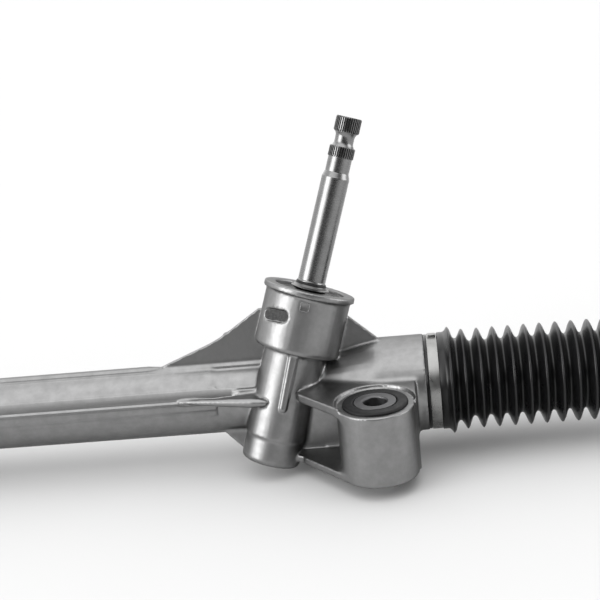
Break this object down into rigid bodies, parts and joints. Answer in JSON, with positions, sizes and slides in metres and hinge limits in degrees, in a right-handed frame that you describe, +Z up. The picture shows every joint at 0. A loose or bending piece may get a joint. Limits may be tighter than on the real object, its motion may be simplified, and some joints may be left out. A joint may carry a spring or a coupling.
{
  "type": "steering rack",
  "caption": "Manual rack-and-pinion steering gear: cast housing with a leaning pinion tower, bushed mounting lugs, bellows boots and inner tie rods.",
  "frame": {"origin": "centre of the bolt hole in the mounting bush beside the pinion", "axes": "+X along the rack towards the pinion end, +Y from the mounting bolts to the rack, +Z up along the mounting bolts"},
  "size_m": [1.053, 0.1305, 0.2165],
  "materials": {
    "cast_aluminium": "satin, as cast and shot blasted",
    "cap_aluminium": "pressed, bright",
    "yoke_aluminium": "machined",
    "ground_steel": "ground bright",
    "shaft_steel": "polished",
    "bearing_steel": "ground bright",
    "ball_steel": "polished",
    "cage_polymer": "moulded, natural",
    "spring_steel": "dark, oiled",
    "seal_rubber": "moulded",
    "hub_steel": "bright turned",
    "bush_bronze": "sintered",
    "liner_polymer": "smooth",
    "plug_steel": "zinc plated",
    "bush_rubber": "moulded, slightly glossy",
    "sleeve_steel": "dark phosphate coat",
    "boot_rubber": "moulded, half glossy",
    "clamp_steel": "bright strip",
    "socket_steel": "dark phosphate coat",
    "seat_polymer": "moulded, natural",
    "rod_steel": "dark phosphate coat",
    "nut_steel": "zinc plated"
  },
  "bodies": {
    "housing": {"gear_housing": "cast_aluminium", "bearing_outer_race": "bearing_steel", "bearing_circlip": "spring_steel", "pinion_seal": "seal_rubber", "lower_pinion_bush": "bush_bronze", "pinion_end_cap": "cap_aluminium", "rack_yoke": "yoke_aluminium", "yoke_liner": "liner_polymer", "yoke_o_ring": "seal_rubber", "yoke_adjuster_plug": "plug_steel", "yoke_lock_nut": "plug_steel", "yoke_spring": "spring_steel", "rack_bushing": "cage_polymer", "bushing_retainer": "spring_steel", "right_bush_rubber": "bush_rubber", "right_bush_sleeve": "sleeve_steel", "right_boot": "boot_rubber", "right_large_clamp": "clamp_steel", "left_bush_rubber": "bush_rubber", "left_bush_sleeve": "sleeve_steel", "left_boot": "boot_rubber", "left_large_clamp": "clamp_steel"},
    "rack": {"rack_bar": "ground_steel", "right_joint_socket": "socket_steel", "left_joint_socket": "socket_steel"},
    "pinion": {"pinion_shaft": "shaft_steel", "bearing_inner_race": "bearing_steel", "seal_hub_ring": "hub_steel"},
    "ball_set": {"bearing_cage": "cage_polymer", "bearing_balls": "ball_steel"},
    "right_seat": {"right_ball_seat": "seat_polymer"},
    "right_rod": {"right_tie_rod": "rod_steel", "right_jam_nut": "nut_steel", "right_small_clamp": "clamp_steel"},
    "left_seat": {"left_ball_seat": "seat_polymer"},
    "left_rod": {"left_tie_rod": "rod_steel", "left_jam_nut": "nut_steel", "left_small_clamp": "clamp_steel"}
  },
  "joints": [
    {"name": "rack_slide", "type": "slide", "parent": "housing", "child": "rack", "axis": [1, 0, 0], "range_m": [-0.066, 0.066], "deforming": ["right_boot", "left_boot"]},
    {"name": "pinion_turn", "type": "hinge", "parent": "housing", "child": "pinion", "pos_m": [-0.058, 0.04035, 0.01563], "axis": [0.309, 0.1977, 0.9303], "range_deg": [-541, 541]},
    {"name": "bearing_roll", "type": "hinge", "parent": "housing", "child": "ball_set", "pos_m": [-0.058, 0.04035, 0.01563], "axis": [0.309, 0.1977, 0.9303], "range_deg": [-210, 210]},
    {"name": "right_lift", "type": "hinge", "parent": "rack", "child": "right_seat", "pos_m": [0.1365, 0.056, 0.0123], "axis": [0, 1, 0], "range_deg": [-16, 16]},
    {"name": "right_swing", "type": "hinge", "parent": "right_seat", "child": "right_rod", "pos_m": [0.1365, 0.056, 0.0123], "axis": [0, 0, 1], "range_deg": [-6, 6]},
    {"name": "left_lift", "type": "hinge", "parent": "rack", "child": "left_seat", "pos_m": [-0.5365, 0.056, 0.0123], "axis": [0, 1, 0], "range_deg": [-16, 16]},
    {"name": "left_swing", "type": "hinge", "parent": "left_seat", "child": "left_rod", "pos_m": [-0.5365, 0.056, 0.0123], "axis": [0, 0, 1], "range_deg": [-6, 6]}
  ],
  "couplings": [
    {"joint": "pinion_turn", "follows": "rack_slide", "rad_per_m": -142.86},
    {"joint": "bearing_roll", "follows": "rack_slide", "rad_per_m": -54.68}
  ]
}
